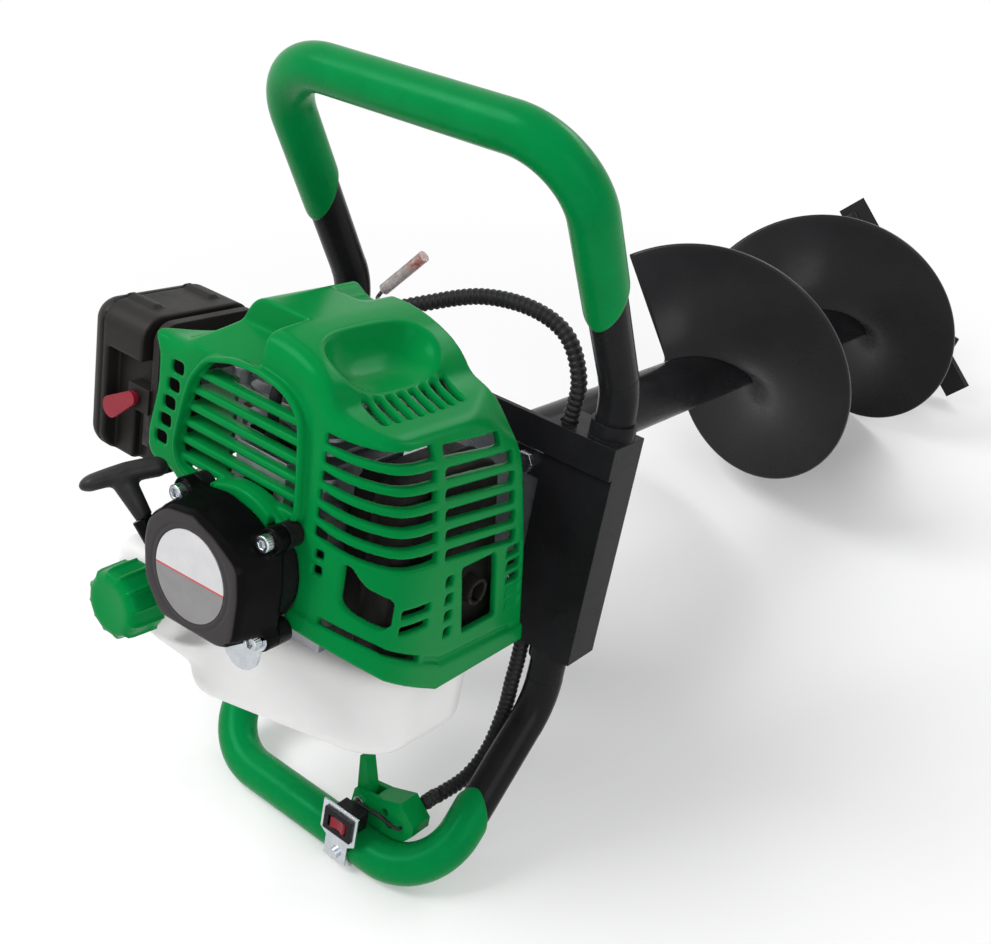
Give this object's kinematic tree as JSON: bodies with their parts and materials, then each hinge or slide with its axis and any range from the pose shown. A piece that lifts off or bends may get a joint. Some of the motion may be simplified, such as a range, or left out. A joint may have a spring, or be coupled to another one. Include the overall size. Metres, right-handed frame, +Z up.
{
  "type": "earth auger",
  "caption": "Petrol earth auger with a covered engine, a gearbox, looped handles with green grips above and below, and a black screw auger on a long tube.",
  "frame": {"origin": "on the floor, straight below the middle of the lower handle's crossbar", "axes": "+Z up from the floor, +Y along the machine from the starter towards the auger's point, +X towards the muffler side"},
  "size_m": [0.2794, 1.2265, 0.5338],
  "materials": {
    "black_paint": "gloss black paint",
    "green_plastic": "gloss moulded green",
    "green_grip": "gloss green grip sleeve",
    "cast_alloy": "as cast",
    "steel": "machined",
    "zinc": "bright zinc plate",
    "tank_white": "white, slightly translucent",
    "black_plastic": "fine grained black",
    "starter_plate": "two-tone grey",
    "red_plastic": "gloss red",
    "black_rubber": "satin",
    "clear_plastic": "clear, slightly yellow",
    "filter_foam": "open foam",
    "muffler_steel": "heat-darkened sheet",
    "insulator": "brown phenolic"
  },
  "bodies": {
    "machine": {"side_bracket_right": "black_paint", "side_bracket_left": "black_paint", "cross_strap": "black_paint", "upper_handle_tube": "black_paint", "lower_handle_tube": "black_paint", "engine_cover": "green_plastic", "throttle_housing": "green_plastic", "upper_grip": "green_grip", "lower_grip": "green_grip", "gearbox_housing": "cast_alloy", "clutch_housing": "cast_alloy", "crankcase": "cast_alloy", "piston": "cast_alloy", "cylinder_barrel": "cast_alloy", "flywheel": "cast_alloy", "carburettor": "cast_alloy", "gearbox_bearings": "steel", "clutch_shoes": "steel", "crank_bearings": "steel", "crankshaft": "steel", "connecting_rod": "steel", "spark_plug": "steel", "starter_spring": "steel", "gearbox_bolts": "zinc", "cylinder_bolts": "zinc", "starter_screws": "zinc", "tank_guard": "zinc", "trigger_pin": "zinc", "switch_bracket": "zinc", "fuel_tank": "tank_white", "ignition_coil": "black_plastic", "air_filter_base": "black_plastic", "air_filter_cover": "black_plastic", "fan_case": "black_plastic", "starter_housing": "black_plastic", "switch_body": "black_plastic", "starter_plate": "starter_plate", "plug_boot": "black_rubber", "switch_wires": "black_rubber", "throttle_conduit": "black_rubber", "fuel_hose": "clear_plastic", "connector_sleeve": "clear_plastic", "air_filter_element": "filter_foam", "muffler": "muffler_steel", "intake_insulator": "insulator"},
    "auger": {"auger_tube": "black_paint", "auger_flight": "black_paint", "auger_blades": "black_paint", "auger_point": "black_paint", "hitch_pin": "zinc", "output_shaft": "steel", "output_gear": "steel"},
    "layshaft": {"layshaft_gear": "steel"},
    "drum": {"clutch_drum": "steel"},
    "pull_grip": {"starter_handle": "black_plastic"},
    "reel": {"starter_reel": "black_plastic"},
    "cap": {"fuel_cap": "green_plastic"},
    "choke": {"choke_lever": "red_plastic"},
    "trigger": {"throttle_trigger": "green_plastic"},
    "rocker": {"switch_rocker": "red_plastic"}
  },
  "joints": [
    {"name": "auger_spin", "type": "hinge", "parent": "machine", "child": "auger", "pos_m": [0, 0.20575, 0.23308], "axis": [0, 0.9884, -0.1519], "continuous": true},
    {"name": "layshaft_spin", "type": "hinge", "parent": "machine", "child": "layshaft", "pos_m": [0, 0.11627, 0.21041], "axis": [0, 0.9884, -0.1519], "continuous": true},
    {"name": "drum_spin", "type": "hinge", "parent": "machine", "child": "drum", "pos_m": [0, 0.07726, 0.25283], "axis": [0, 0.9884, -0.1519], "continuous": true},
    {"name": "starter_pull", "type": "slide", "parent": "machine", "child": "pull_grip", "axis": [-0.591, -0.0793, 0.8027], "range_m": [0, 0.6], "stiffness_N_per_m": 15},
    {"name": "reel_spin", "type": "hinge", "parent": "machine", "child": "reel", "pos_m": [0, -0.08286, 0.27744], "axis": [0, 0.9884, -0.1519], "range_deg": [0, 1600]},
    {"name": "cap_turn", "type": "hinge", "parent": "machine", "child": "cap", "pos_m": [-0.071, -0.09251, 0.22125], "axis": [0, -0.9884, 0.1519], "range_deg": [0, 720]},
    {"name": "choke_turn", "type": "hinge", "parent": "machine", "child": "choke", "pos_m": [-0.109, -0.04736, 0.33066], "axis": [0, 0.9884, -0.1519], "range_deg": [0, 50]},
    {"name": "throttle_squeeze", "type": "hinge", "parent": "machine", "child": "trigger", "pos_m": [0.033, 0.01976, 0.03807], "axis": [0, -0.9884, 0.1519], "range_deg": [0, 35], "stiffness_Nm_per_rad": 0.4},
    {"name": "stop_switch", "type": "hinge", "parent": "machine", "child": "rocker", "pos_m": [0.037, -0.01121, 0.03929], "axis": [0, 0.1519, 0.9884], "range_deg": [-12, 12]}
  ],
  "couplings": [
    {"joint": "layshaft_spin", "follows": "auger_spin", "ratio": -5},
    {"joint": "drum_spin", "follows": "auger_spin", "ratio": 25},
    {"joint": "reel_spin", "follows": "starter_pull", "rad_per_m": 45.455}
  ]
}
